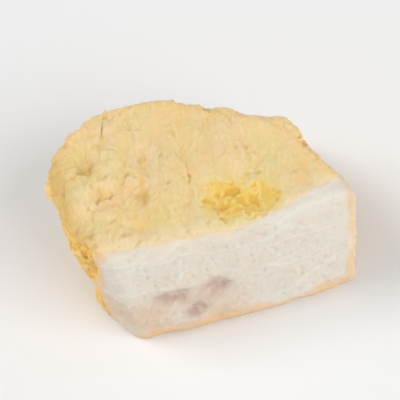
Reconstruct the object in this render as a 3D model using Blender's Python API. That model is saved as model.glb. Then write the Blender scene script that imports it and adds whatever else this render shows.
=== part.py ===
"""One piece of freeze-dried orange, cut from a segment of the peeled fruit.

White pith lines its front. Juice sacs run back from the pith towards the core. A papery membrane covers the
top and the underside, and the flesh lies open where the piece was cut behind and torn at its left end.

+X runs along the pith, +Y from the pith to the core and +Z up. The origin is on the surface that the piece
rests on, under the middle of it. Sizes are in millimetres until the finished mesh is scaled to metres.
"""

import math

import bmesh
import bpy
from mathutils import Matrix, Vector, noise

METRE = 0.001

# The block that the piece was cut to
HEIGHT = 9.8
FRONT = -6.4
STOCK = 40.0
HALF_LENGTH = 9.8

# How far the block's edges are rounded, with the shares that the edges of the pith's face have
ROUNDING = 1.0
ROUNDING_STEPS = 4
UPPER_PITH_EDGE = 0.9
OTHER_PITH_EDGES = 0.45

# The pith's thickness: in the middle, how much more at the left and the right end and how suddenly, how
# uneven, and how soft its border is
PITH_DEPTH = 0.50
PITH_FLARE_LEFT, PITH_FLARE_RIGHT = 1.1, 1.5
PITH_POWER_LEFT, PITH_POWER_RIGHT = 3.0, 1.5
PITH_UNEVEN = 0.35
PITH_PATCH = 3.1
PITH_BORDER = 0.15

# The pith reaches further back low at the left: how much, and where that starts and is full, in height and
# along the face. Its upper edge is thinner by the patch: by how much, from what height, where along the face,
# and half how far.
PITH_FOOT = 1.2
PITH_FOOT_HEIGHT = (9.0, 1.5)
PITH_FOOT_ALONG = (-4.5, -7.0)
PITH_DIP = 0.35
PITH_DIP_HEIGHT = (8.2, 9.4)
PITH_DIP_AT, PITH_DIP_REACH = 3.0, 3.2

# The bulge of the pith's face: its height, its share at the upper and lower edge, how suddenly it falls off
# along the face and up it, and how deep it reaches
PITH_BULGE = 0.65
BULGE_AT_EDGES = 0.55
BULGE_POWER_ALONG, BULGE_POWER_UP = 2.5, 3
BULGE_REACH = 4.0

# The juice sacs: how wide and long they are, how far behind the front they would meet, how thick their walls
# are, and the scatter that gives each its own number
SAC_WIDTH = 2.7
SAC_LENGTH = 8.5
SAC_FAN = 38.0
SAC_WALL = 0.5
SAC_SCATTER = 37.0

# Relief of the sacs: their swell under the membrane, and the sunk pockets and uneven ends of the cut ones,
# with the share of each that stands below the block's own surface
SAC_SWELL = 0.26
SWELL_BELOW = 0.6
POCKET_DEPTH = 0.75
POCKET_BELOW = 0.65
SAC_STEP = 0.35

# Relief of the torn end, the broad crags and the small lumps: height and spacing
KNOB_HEIGHT = 0.95
KNOB_SPACING = 2.6
KNOB_BELOW = 0.55
KNOB_FOOT = 0.8
CRAG_HEIGHT = 0.34
CRAG_SPACING = 4.6
LUMP_HEIGHT = 0.15
LUMP_SPACING = 1.7
LUMP_SHIFT = Vector((7.0, 3.0, 1.0))

# The shares of the crags that skin, open flesh and pith have, and of the lumps that the pith has
SKIN_CRAGS = 0.6
FLESH_CRAGS = 1.5
PITH_CRAGS = 0.4
PITH_LUMPS = 0.3

# How level a face is where the membrane starts and is whole, and how far it faces left where it is torn
MEMBRANE_FROM, MEMBRANE_WHOLE = 0.55, 0.85
TORN_FROM, TORN_WHOLE = 0.45, 0.85

# The flat spot that the piece rests on: how far it is worn, and where it ends and where its wear fades out
REST_SINK = 0.10
REST_FLAT, REST_FADE = 2.1, 4.2

# The mesh: the grid of the rounded block, how often it is smoothed, and the share of faces kept
GRID = 0.38
SMOOTHINGS = 2
KEPT_FACES = 0.52

FLESH_COLOUR = (0.80, 0.58, 0.26, 1.0)
FLESH_ROUGHNESS = 0.8

# Each cut face: a point on it, the way it faces round from +X, and its lean up from level, in degrees
CUTS = {
    "top membrane": ((0.0, FRONT, HEIGHT), 60, 88),
    "underside membrane": ((0.0, 0.0, 0.0), 0, -90),
    "pith": ((0.0, FRONT, 0.0), -90, 0),
    "left front": ((-7.95, -5.15, HEIGHT), 217, -3),
    "left end": ((-9.6, 0.0, HEIGHT), 183, -4),
    "left chamfer": ((-9.35, 2.6, HEIGHT), 154, -5),
    "left back": ((-7.3, 5.2, HEIGHT), 123, -2),
    "core cut": ((-2.95, 6.1, HEIGHT), 87, 4),
    "long shoulder": ((2.6, 3.42, HEIGHT), 58, 27),
    "short shoulder": ((8.05, -1.7, HEIGHT), 28, 15),
    "right end": ((9.45, 0.0, HEIGHT), 4, -6.5),
}

# How far from a hollow's middle, in half-sizes, its floor ends and its rim lies, and how uneven its rim is
HOLLOW_FLOOR, HOLLOW_RIM, HOLLOW_UNEVEN = 0.35, 1.15, 0.25

# Shallow hollows: middle, half-sizes along X, Y and Z, and depth
HOLLOWS = (
    ((1.5, -3.75, 9.8), (1.35, 1.25, 2.0), 0.36),
    ((3.6, -4.45, 9.8), (1.45, 1.15, 2.0), 0.36),
    ((-2.9, 0.6, 9.8), (0.7, 1.7, 1.5), 0.30),
    ((-3.7, -2.1, 9.8), (0.8, 0.9, 1.5), 0.30),
    ((-6.9, 1.6, 9.8), (0.9, 1.0, 1.5), 0.38),
    ((-6.4, -1.0, 9.8), (0.7, 0.8, 1.5), 0.30),
    ((-3.5, -7.0, 4.8), (1.2, 1.5, 0.85), 0.15),
    ((-0.35, -7.0, 4.7), (0.9, 1.5, 1.1), 0.17),
    ((-2.2, -7.0, 2.7), (0.75, 1.5, 0.9), 0.12),
)


def facing(azimuth, lean):
    """The unit vector that points azimuth degrees round from +X and lean degrees up from level."""
    turn, rise = math.radians(azimuth), math.radians(lean)
    level = math.cos(rise)
    return Vector((math.cos(turn) * level, math.sin(turn) * level, math.sin(rise)))


def ramp(low, high, value):
    """0 up to low, 1 from high, and a smooth rise between them."""
    share = min(max((value - low) / (high - low), 0.0), 1.0)
    return share * share * (3.0 - 2.0 * share)


def clear_scene():
    for thing in list(bpy.data.objects):
        bpy.data.objects.remove(thing)


def rounding_share(edge):
    """The share of the full rounding that an edge of the block has."""
    if not any(face.normal.y < -0.99 for face in edge.link_faces):
        return 1.0
    upper = all(vertex.co.z > 0.5 * HEIGHT for vertex in edge.verts)
    return UPPER_PITH_EDGE if upper else OTHER_PITH_EDGES


def cut_block():
    """A block of stock trimmed by each cut in turn, with its edges weighted for the bevel."""
    bm = bmesh.new()
    bmesh.ops.create_cube(bm, size=STOCK)
    for at, azimuth, lean in CUTS.values():
        everything = bm.verts[:] + bm.edges[:] + bm.faces[:]
        bmesh.ops.bisect_plane(
            bm, geom=everything, plane_co=at, plane_no=facing(azimuth, lean), clear_outer=True
        )
        bmesh.ops.holes_fill(bm, edges=bm.edges[:])
    weight = bm.edges.layers.float.new("bevel_weight_edge")
    for edge in bm.edges:
        edge[weight] = rounding_share(edge)
    return bm


def sac(point):
    """The juice sac at a point: 0 on its wall up to 1 inside, and the sac's own number from 0 to 1."""
    width = SAC_WIDTH * (1.0 - (point.y - FRONT) / SAC_FAN)
    place = Vector((point.x / width, point.y / SAC_LENGTH, (point.z - 0.5 * HEIGHT) / width))
    distances, middles = noise.voronoi(place)
    own = 0.5 + 0.5 * noise.cell(middles[0] * SAC_SCATTER)
    return ramp(0.0, SAC_WALL, distances[1] - distances[0]), own


def pith_share(point):
    """1 in the pith, 0 in the flesh."""
    along = abs(point.x / HALF_LENGTH)
    left, right = PITH_FLARE_LEFT * along ** PITH_POWER_LEFT, PITH_FLARE_RIGHT * along ** PITH_POWER_RIGHT
    thick = PITH_DEPTH + (left if point.x < 0.0 else right)
    thick += PITH_UNEVEN * noise.noise(point / PITH_PATCH)
    thick += PITH_FOOT * ramp(*PITH_FOOT_HEIGHT, point.z) * ramp(*PITH_FOOT_ALONG, point.x)
    dip = 1.0 - ramp(0.5, 1.0, abs(point.x - PITH_DIP_AT) / PITH_DIP_REACH)
    thick -= PITH_DIP * dip * ramp(*PITH_DIP_HEIGHT, point.z)
    return 1.0 - ramp(-PITH_BORDER, PITH_BORDER, point.y - FRONT - thick)


def pith_bulge(point):
    """How far the pith's face stands forward of its edges, for a point of the block."""
    along = 1.0 - min(abs(point.x / HALF_LENGTH), 1.0) ** BULGE_POWER_ALONG
    upright = 1.0 - min(abs(2.0 * point.z / HEIGHT - 1.0), 1.0) ** BULGE_POWER_UP
    height = PITH_BULGE * along * (BULGE_AT_EDGES + (1.0 - BULGE_AT_EDGES) * upright)
    return height * (1.0 - ramp(0.0, BULGE_REACH, point.y - FRONT))


def hollow(point):
    """The depth of the named hollows at a point of the surface."""
    depth = 0.0
    for middle, half, deep in HOLLOWS:
        apart = Vector([(a - b) / h for a, b, h in zip(point, middle, half)])
        reach = apart.length + HOLLOW_UNEVEN * noise.noise(point)
        depth += deep * (1.0 - ramp(HOLLOW_FLOOR, HOLLOW_RIM, reach))
    return depth


def relief(point, normal):
    """How far the finished surface stands out from the rounded block."""
    pith = pith_share(point)
    membrane = ramp(MEMBRANE_FROM, MEMBRANE_WHOLE, abs(normal.z))
    open_flesh = 1.0 - membrane
    torn = open_flesh * ramp(TORN_FROM, TORN_WHOLE, -normal.x)
    inside, own = sac(point)
    swell = SAC_SWELL * membrane * (inside - SWELL_BELOW)
    pockets = POCKET_DEPTH * (open_flesh - torn) * (1.0 - POCKET_BELOW - inside)
    steps = SAC_STEP * open_flesh * inside * (0.5 - own)
    nearest = noise.voronoi(point / KNOB_SPACING)[0][0]
    knobs = KNOB_HEIGHT * torn * (1.0 - KNOB_BELOW - ramp(0.0, KNOB_FOOT, nearest))
    lumps = LUMP_HEIGHT * noise.noise(point / LUMP_SPACING + LUMP_SHIFT)
    crags = CRAG_HEIGHT * noise.noise(point / CRAG_SPACING)
    on_flesh = swell + pockets + steps + knobs + lumps
    on_flesh += crags * (SKIN_CRAGS * membrane + FLESH_CRAGS * open_flesh)
    on_pith = PITH_LUMPS * lumps + PITH_CRAGS * crags
    return (1.0 - pith) * on_flesh + pith * on_pith - hollow(point)


def pressed(point):
    """The same point once the underside is worn flat where the piece rests."""
    middle = 1.0 - ramp(REST_FLAT, REST_FADE, Vector((point.x, point.y)).length)
    low = point.z - REST_SINK
    if low < 2.0 * REST_SINK:
        low -= 2.0 * REST_SINK * middle
    return Vector((point.x, point.y, max(low, 0.0)))


def evaluated_mesh(thing):
    bpy.context.view_layer.update()
    graph = bpy.context.evaluated_depsgraph_get()
    return bpy.data.meshes.new_from_object(thing.evaluated_get(graph), depsgraph=graph)


def rounded_block(name):
    """The cut block as an object, bevelled and rebuilt as an even net of small faces."""
    mesh = bpy.data.meshes.new(name)
    bm = cut_block()
    bm.to_mesh(mesh)
    bm.free()
    piece = bpy.data.objects.new(name, mesh)
    bpy.context.scene.collection.objects.link(piece)
    bevel = piece.modifiers.new("rounded edges", "BEVEL")
    bevel.limit_method = "WEIGHT"
    bevel.width = ROUNDING
    bevel.segments = ROUNDING_STEPS
    remesh = piece.modifiers.new("even net", "REMESH")
    remesh.mode = "VOXEL"
    remesh.voxel_size = GRID
    piece.data = evaluated_mesh(piece)
    piece.modifiers.clear()
    return piece


def carve(piece):
    """Moves each point of the rounded block to the finished surface."""
    mesh = piece.data
    normals = [vertex.normal.copy() for vertex in mesh.vertices]
    for vertex, normal in zip(mesh.vertices, normals):
        place = vertex.co.copy()
        carved = place + normal * relief(place, normal)
        carved.y -= pith_bulge(place)
        vertex.co = carved
    mesh.update()


def lighten(piece):
    """Eases the steps between neighbouring points and drops the faces that the shape doesn't need."""
    smooth = piece.modifiers.new("eased steps", "SMOOTH")
    smooth.iterations = SMOOTHINGS
    decimate = piece.modifiers.new("fewer faces", "DECIMATE")
    decimate.ratio = KEPT_FACES
    decimate.use_collapse_triangulate = True
    piece.data = evaluated_mesh(piece)
    piece.modifiers.clear()


def settle(piece):
    """Rests the piece on its flat spot, with the origin there under the middle, and scales to metres."""
    for vertex in piece.data.vertices:
        vertex.co = pressed(vertex.co)
    points = [vertex.co for vertex in piece.data.vertices]
    low = Vector([min(point[axis] for point in points) for axis in range(3)])
    high = Vector([max(point[axis] for point in points) for axis in range(3)])
    middle = (low + high) / 2.0
    piece.data.transform(Matrix.Translation((-middle.x, -middle.y, -low.z)))
    piece.data.transform(Matrix.Scale(METRE, 4))


def flesh_material():
    material = bpy.data.materials.new("freeze_dried_orange")
    material.use_nodes = True
    shader = material.node_tree.nodes["Principled BSDF"]
    shader.inputs["Base Color"].default_value = FLESH_COLOUR
    shader.inputs["Roughness"].default_value = FLESH_ROUGHNESS
    shader.inputs["Metallic"].default_value = 0.0
    return material


def main():
    clear_scene()
    piece = rounded_block("orange_piece")
    carve(piece)
    lighten(piece)
    settle(piece)
    piece.data.materials.clear()
    piece.data.materials.append(flesh_material())
    piece.data.shade_smooth()


main()
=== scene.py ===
"""The look of one piece of freeze-dried orange: white pith, cream membrane and porous golden flesh.

The mesh code works in millimetres and scales each finished mesh to metres. The piece takes its place from the
frame's node, and its form from the same cuts, sacs and hollows as that solid, with the pores, thin sac walls
and torn skin that a solid leaves out.
"""

import math

import bmesh
import bpy
import numpy as np
from bpy.props import FloatProperty, FloatVectorProperty, PointerProperty
from mathutils import Matrix, Vector, noise


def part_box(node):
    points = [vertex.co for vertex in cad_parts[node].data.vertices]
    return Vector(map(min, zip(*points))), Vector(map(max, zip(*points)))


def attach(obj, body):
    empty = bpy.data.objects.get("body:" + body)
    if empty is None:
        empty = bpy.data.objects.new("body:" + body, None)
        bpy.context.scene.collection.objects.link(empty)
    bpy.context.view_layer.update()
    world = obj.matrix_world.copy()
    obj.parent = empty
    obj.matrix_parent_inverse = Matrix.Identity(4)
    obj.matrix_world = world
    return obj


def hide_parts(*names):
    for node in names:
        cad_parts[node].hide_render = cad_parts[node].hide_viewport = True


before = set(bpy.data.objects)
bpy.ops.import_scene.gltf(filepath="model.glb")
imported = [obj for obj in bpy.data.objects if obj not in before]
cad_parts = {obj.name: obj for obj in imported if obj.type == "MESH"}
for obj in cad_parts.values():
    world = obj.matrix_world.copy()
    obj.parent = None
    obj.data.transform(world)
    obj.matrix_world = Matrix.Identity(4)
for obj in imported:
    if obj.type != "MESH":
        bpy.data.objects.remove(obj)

bl_info = {
    "name": "Freeze-dried Orange Piece",
    "version": (1, 0, 0),
    "blender": (4, 5, 0),
    "location": "3D View > Sidebar > Dried Orange",
    "description": "Builds one piece of freeze-dried orange with its pith, membrane and porous flesh",
    "category": "Object",
}

NODE = "orange_piece"
BODY = "root"
METRE = 0.001

# The block that the piece was cut to: its height, where its front is, the stock that it is cut from, and half
# its length
HEIGHT = 9.8
FRONT = -6.4
STOCK = 40.0
HALF_LENGTH = 9.8

# How far the block's edges are rounded, with the shares that the edges of the pith's face have, and how far
# forward a face has to look to be the pith's
ROUNDING = 1.0
ROUNDING_STEPS = 4
UPPER_PITH_EDGE = 0.9
OTHER_PITH_EDGES = 0.45
PITH_FACING = -0.99

# The pith's thickness: how much more at the left and the right end and how suddenly, how uneven, and how
# soft its border is
PITH_FLARE_LEFT, PITH_FLARE_RIGHT = 1.1, 1.5
PITH_POWER_LEFT, PITH_POWER_RIGHT = 3.0, 1.5
PITH_UNEVEN = 0.35
PITH_PATCH = 3.1
PITH_BORDER = 0.15

# The pith reaches further back low at the left: how much, and where that starts and is full, in height and
# along the face. Its upper edge is thinner by the patch: by how much, where that starts and is full in
# height, its middle along the face, how far from there it ends, and the share of that reach where it is
# full.
PITH_FOOT = 1.2
PITH_FOOT_HEIGHT = (9.0, 1.5)
PITH_FOOT_ALONG = (-4.5, -7.0)
PITH_DIP = 0.35
PITH_DIP_HEIGHT = (8.2, 9.4)
PITH_DIP_AT, PITH_DIP_REACH, PITH_DIP_FULL = 3.0, 3.2, 0.5

# The bulge of the pith's face: its share at the upper and lower edge, how suddenly it falls off along the
# face and up it, and how deep it reaches
BULGE_AT_EDGES = 0.55
BULGE_POWER_ALONG, BULGE_POWER_UP = 2.5, 3
BULGE_REACH = 4.0

# The juice sacs: how far behind the front they would meet, their walls' breadth, how uneven their cut ends
# are, the scatter that gives each its own number, and the share of their swell and of their pockets that
# stands below the block's own surface
SAC_FAN = 38.0
SAC_WALL = 0.5
SAC_STEP = 0.35
SAC_SCATTER = 37.0
SWELL_BELOW = 0.6
POCKET_BELOW = 0.65

# The torn end's knobs: their spacing, the share of them that lies below the block's own surface, and how far
# from a knob's middle its foot is
KNOB_SPACING = 2.6
KNOB_BELOW = 0.55
KNOB_FOOT = 0.8

# The spacings of the broad crags and of the small lumps, and how far the lumps' noise is shifted
CRAG_SPACING = 4.6
LUMP_SPACING = 1.7
LUMP_SHIFT = Vector((7.0, 3.0, 1.0))

# The shares of the crags that skin, open flesh and pith have, and of the lumps that the pith has
SKIN_CRAGS = 0.6
FLESH_CRAGS = 1.5
PITH_CRAGS = 0.4
PITH_LUMPS = 0.3

# How level a face is where the membrane starts and is whole, and how far it faces left where it is torn
MEMBRANE_FROM, MEMBRANE_WHOLE = 0.55, 0.85
TORN_FROM, TORN_WHOLE = 0.45, 0.85

# How level and how far to the right a shoulder faces that the membrane still covers, from where to where
SHOULDER_LEVEL = (0.15, 0.35)
SHOULDER_RIGHT = (0.20, 0.50)

# The warm hem of the pith, partly the flesh's own colour at its border and partly painted orange reflection
# along its low and side edges: how far in from the flesh, the right end and the underside it fades out, how
# uneven it is and on what spacing, and the share of that which the right hem has
FLESH_HEM, RIGHT_HEM, LOW_HEM = 1.0, 1.1, 2.0
HEM_UNEVEN = 0.9
HEM_PATCH = 1.8
RIGHT_HEM_UNEVEN = 0.5

# How far left the pith faces where its hem along the flesh starts and is full, and its least share
# elsewhere, which fades out to the right
HEM_FACING = (0.05, 0.55)
HEM_LEAST = 0.3
HEM_FADE = (5.0, 2.0)

# How far right the pith faces where its right hem starts to weaken and is weakest, and by how much it
# weakens
RIGHT_HEM_FACING = (0.2, 1.0)
RIGHT_HEM_LOSS = 0.5

# The warm rim of the membrane, painted light that comes through it near the cuts: how far in from the cuts it
# fades out
RIM = 1.7
RIM_CUTS = (
    "left front", "left end", "left chamfer", "left back",
    "core cut", "long shoulder", "short shoulder", "right end",
)

# The painted shade on the membrane's left limb, darker where it curves down out of the light: how far in
# from the cuts there it fades out, and where along the piece it starts and is full
LIMB_SHADE = 2.8
LIMB_SHADE_CUTS = ("left front", "left end")
LIMB_SHADE_ALONG = (-6.0, -9.0)

# The broad blush low on the pith's left half: where it starts and is full, in height and along the face
BLUSH_HEIGHT = (6.2, 3.6)
BLUSH_ALONG = (3.0, -1.0)

# How broad the pale margin of the membrane along the pith is
MARGIN = 1.6

# The warm spot on top: its middle, its radius, and the share of that where it is full
GLOW_AT = Vector((2.2, -0.2, HEIGHT))
GLOW_RADIUS = 2.4
GLOW_FULL = 0.2

# The border of the patch without membrane: where it starts and ends, in half-sizes of its hollows, and how
# ragged it is and on what spacing
PATCH_BORDER = (0.72, 1.12)
PATCH_RAGGED = 0.30
PATCH_RAG_SPACING = 0.7

# The patch's right corner, which is partly covered: a point on the line where the cover begins and the
# line's slant, how far beyond it the cover starts and is full, and how much it hides
CORNER_AT = (2.5, -4.1)
CORNER_SLANT = 0.5
CORNER_FADE = (0.6, 2.4)
CORNER_COVER = 0.3

# Where the yellow halo round the patch, the shade in the pits and the stain in the dents start to fade and
# end, in half-sizes of their hollows
HALO_FADE = (0.8, 1.7)
SHADE_FADE = (0.3, 1.2)
STAIN_FADE = (0.45, 1.3)

# The seed of the noise that bends pits, crinkles and strands, set so that each run gives the same piece
BEND_SEED = 3

# The flat spot that the piece rests on: how far it is worn, how deep a band above that is pressed level, and
# where it ends and where its wear fades out
REST_SINK = 0.10
REST_BAND = 2.0 * REST_SINK
REST_FLAT, REST_FADE = 2.1, 4.2

# Each cut face: a point on it, the way it faces round from +X, and its lean up from level, in degrees
CUTS = {
    "top membrane": ((0.0, FRONT, HEIGHT), 60, 88),
    "underside membrane": ((0.0, 0.0, 0.0), 0, -90),
    "pith": ((0.0, FRONT, 0.0), -90, 0),
    "left front": ((-7.95, -5.15, HEIGHT), 217, -3),
    "left end": ((-9.6, 0.0, HEIGHT), 183, -4),
    "left chamfer": ((-9.35, 2.6, HEIGHT), 154, -5),
    "left back": ((-7.3, 5.2, HEIGHT), 123, -2),
    "core cut": ((-2.95, 6.1, HEIGHT), 87, 4),
    "long shoulder": ((2.6, 3.42, HEIGHT), 58, 27),
    "short shoulder": ((8.05, -1.7, HEIGHT), 28, 15),
    "right end": ((9.45, 0.0, HEIGHT), 4, -6.5),
}

# How far from a hollow's middle, in half-sizes, its floor ends and its rim lies, and how uneven its rim is
HOLLOW_FLOOR, HOLLOW_RIM, HOLLOW_UNEVEN = 0.35, 1.15, 0.25

# Shallow hollows: middle, half-sizes along X, Y and Z, and depth
HOLLOWS = (
    ((1.5, -3.75, 9.8), (1.35, 1.25, 2.0), 0.36),
    ((3.6, -4.45, 9.8), (1.45, 1.15, 2.0), 0.36),
    ((-2.9, 0.6, 9.8), (0.7, 1.7, 1.5), 0.30),
    ((-3.7, -2.1, 9.8), (0.8, 0.9, 1.5), 0.30),
    ((-6.9, 1.6, 9.8), (0.9, 1.0, 1.5), 0.38),
    ((-6.4, -1.0, 9.8), (0.7, 0.8, 1.5), 0.30),
    ((-3.5, -7.0, 4.8), (1.2, 1.5, 0.85), 0.15),
    ((-0.35, -7.0, 4.7), (0.9, 1.5, 1.1), 0.17),
    ((-2.2, -7.0, 2.7), (0.75, 1.5, 0.9), 0.12),
)

# The hollows of the patch without membrane, the two pits that are shaded, and the dents in the pith
PATCH_HOLLOWS = slice(0, 2)
PIT_HOLLOWS = slice(3, 5)
DENT_HOLLOWS = slice(6, 9)

# The least reach, in half-sizes, that counts at a hollow's middle
LEAST_REACH = 0.1

# How the membrane's edge is torn: heights and spacings of its raggedness, how soft the edge is, and how
# much softer in the patch's halo
SKIN_RAGS = ((0.25, 0.9), (0.12, 0.3))
SKIN_SOFTNESS = 0.08
HALO_SOFTNESS = 0.12

# How much lower the torn membrane's step is in the halo, and how far the stained dents sink further
HALO_STEP_LOSS = 0.7
STAIN_SINK = 0.07

# The sponge's bubbles: where their walls end and their floors start, in spacings, the least depth as a
# share of the deepest, and the share of the large ones' spacing that the fine ones have
BUBBLE_WALL = (0.02, 0.30)
BUBBLE_LEAST = 0.30
FINE_SPACING = 0.45

# How far from the middle of a sac's wall the thin wall that stands up starts to fall and ends, and where
# the sunk floor starts and is full
THIN_WALL = (0.04, 0.22)
SAC_FLOOR = (0.15, 0.7)

# The sponge's relief in depths of a pore: how high its crests stand, how deep the large and the fine pores
# are, and the share of the large ones' depth that is left by a sac's wall
CREST_HEIGHT = 0.35
LARGE_PORE, FINE_PORE = 0.9, 0.45
PORE_BY_WALL = 0.35

# How far the thin walls stand up, where the pockets between them start to open and are open, how much of
# the pockets' depth that gives, and how deep the walls are broken
WALL_HEIGHT = 0.08
POCKET_MOUTH = (0.04, 0.28)
POCKET_SHARE = 0.9
WALL_BREAK = 0.4

# How much calmer the sponge is on an edge, from what sharpness to what, and under the membrane
EDGE_CALM = 0.6
CALM_EDGES = (0.03, 0.12)
COVERED_CALM = 0.25

# Soft patches with broken walls, and with large and small pits in the membrane: from what level of the
# noise to what, its spacing and shift, and how much fewer there are for each millimetre to the right
BROKEN_WALLS = {"level": (0.05, 0.4), "spacing": 1.6, "shift": Vector((2.0, 6.0, 1.0)), "fewer": 0.0}
LARGE_PIT_PATCHES = {"level": (0.0, 0.25), "spacing": 2.4, "shift": Vector((3.0, 9.0, 4.0)), "fewer": 0.035}
SMALL_PIT_PATCHES = {"level": (-0.25, 0.15), "spacing": 1.9, "shift": Vector((8.0, 1.0, 6.0)), "fewer": 0.02}

# The membrane's pits: spacing and level of the large and the small ones, how soft their edges are, how far
# they are bent and on what share of their spacing, the small ones' share, and their depth
LARGE_PITS = (0.95, 0.42)
SMALL_PITS = (0.48, 0.30)
PIT_SOFTNESS = 0.26
PIT_BEND, PIT_BEND_SPACING = 0.3, 0.5
SMALL_PIT = 0.45
PIT_DEPTH = 0.15

# The membrane's crinkles: breadth and length of the broad and the fine ones, the fine ones' share, how much
# lies below the surface, how far they are bent and on what spacing, and how sharp their crests are
BROAD_CRINKLES = (0.7, 2.6)
FINE_CRINKLES = (0.33, 0.7)
FINE_CRINKLE = 0.9
CRINKLES_BELOW = 0.8
CRINKLE_BEND = (0.5, 2.5)
CRINKLE_SHARPNESS = 3.0

# The pebbles of the membrane's left part: where they start and are full, their spacing, how far from a
# pebble's middle it ends, the level that the surface keeps, and their height
PEBBLES_ALONG = (-2.5, -6.0)
PEBBLE_SPACING = 1.25
PEBBLE_END = 0.8
PEBBLE_LEVEL = 0.35
PEBBLE_HEIGHT = 0.40

# The membrane over the sacs' walls: how far it sags on the thin wall and what level it keeps, how high it
# stands over the broad wall, and how much more that is to the right, from where to where
WALL_SAG, SAG_LEVEL = 0.04, 0.4
RIDGE, RIDGE_RIGHT = 0.05, 0.06
RIDGE_ALONG = (-6.0, -1.0)

# The pith's strands: their spacing along X, Y and Z, how far they are bent and on what spacing, how sharp
# they are, and their height
STRAND_SPACING = (8.0, 2.0, 1.3)
STRAND_BEND = (0.5, 2.6)
STRAND_SHARPNESS = 5.0
STRAND_HEIGHT = 0.07

# The pith's felt: the spacing, bend, sharpness and height of its fibres, the level, spacing, shift and
# depth of its voids, and the spacing and height of its swells
FIBRE_SPACING = 0.42
FIBRE_BEND = (0.35, 0.8)
FIBRE_SHARPNESS = 3.0
FIBRE_HEIGHT = 0.045
VOID_LEVEL = (0.24, 0.45)
VOID_SPACING = 0.5
VOID_SHIFT = Vector((5.0, 2.0, 8.0))
VOID_DEPTH = 0.06
FELT_SWELL_SPACING = 1.5
FELT_SWELL = 0.13

# The crumbled edges: how often the surface is smoothed to find them, how sharp an edge is where crumbling
# starts and is full, its least and its uneven share and their spacing, and how sharp an edge may stay
EDGE_SMOOTHINGS = 60
CRUMBLE_EDGES = (0.02, 0.14)
CRUMBLE_LEAST, CRUMBLE_UNEVEN, CRUMBLE_SPACING = 0.2, 1.1, 0.9
SHARPEST_EDGE = 0.12

# Where the fine relief has folded the surface over: how often it is eased, how little of its first
# direction a face keeps there, how far round that is spread and how strongly, and how smooth it becomes
UNFOLDINGS = 3
FOLDED_BELOW = 0.25
FOLD_SPREAD = 2
FOLD_GAIN = 3.0
UNFOLD_SMOOTHINGS = 6

# What the material reads: how sharp an edge counts in full, how often the surface is smoothed to find fine
# bumps and broad dips and how high each counts in full, the share of a fine pore, and all values' names
FULL_EDGE = 0.2
# The fine bumps and broad dips also set painted light, paler on bumps, and painted shade, deeper in dips
BUMPS = {"pit": (4, 0.05), "dip": (26, 0.16)}
FINE_PORE_TINT = 0.6
READ_BY_MATERIAL = (
    "pith", "strand", "stain", "hem_and_reflection", "blush", "skin", "margin", "glow", "golden", "halo",
    "shade", "rim", "limb_shade", "own", "wall", "pore", "edge", "pit", "dip",
)

# The dry finish: strength and depth of the finest bumps, how shiny it is, its least and greatest roughness,
# and how much light spreads under the surface, how deep and in what colours
BUMP_STRENGTH, BUMP_DEPTH = 0.6, 0.07
SHINE = 0.3
ROUGHNESS = (0.72, 0.92)
SPREAD_SHARE, SPREAD_DEPTH = 0.3, 0.25
SPREAD_COLOURS = (1.0, 0.55, 0.2)

# The floor, in metres: radius of its flat middle, radius of the curve round that, the slope that it curves
# up to, its height, steps of the curve and of the round, how near points are joined, and its finish
FLOOR_FLAT, FLOOR_CURVE, FLOOR_SLOPE, FLOOR_HEIGHT = 0.45, 0.25, math.radians(40.0), 0.25
FLOOR_CURVE_STEPS, FLOOR_ROUND_STEPS = 12, 96
FLOOR_WELD = 1e-5
FLOOR_ROUGHNESS, FLOOR_SHINE = 0.9, 0.2

# Where the two lights stand and how wide they are, in metres
KEY_AT, KEY_WIDTH = (-0.80, 0.24, 1.04), 0.72
FILL_AT, FILL_WIDTH = (0.80, -0.88, 0.80), 1.00

# The nearest and the farthest that the camera sees, in its own distances from the piece
CLIP_NEAR, CLIP_FAR = 0.1, 20.0


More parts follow.
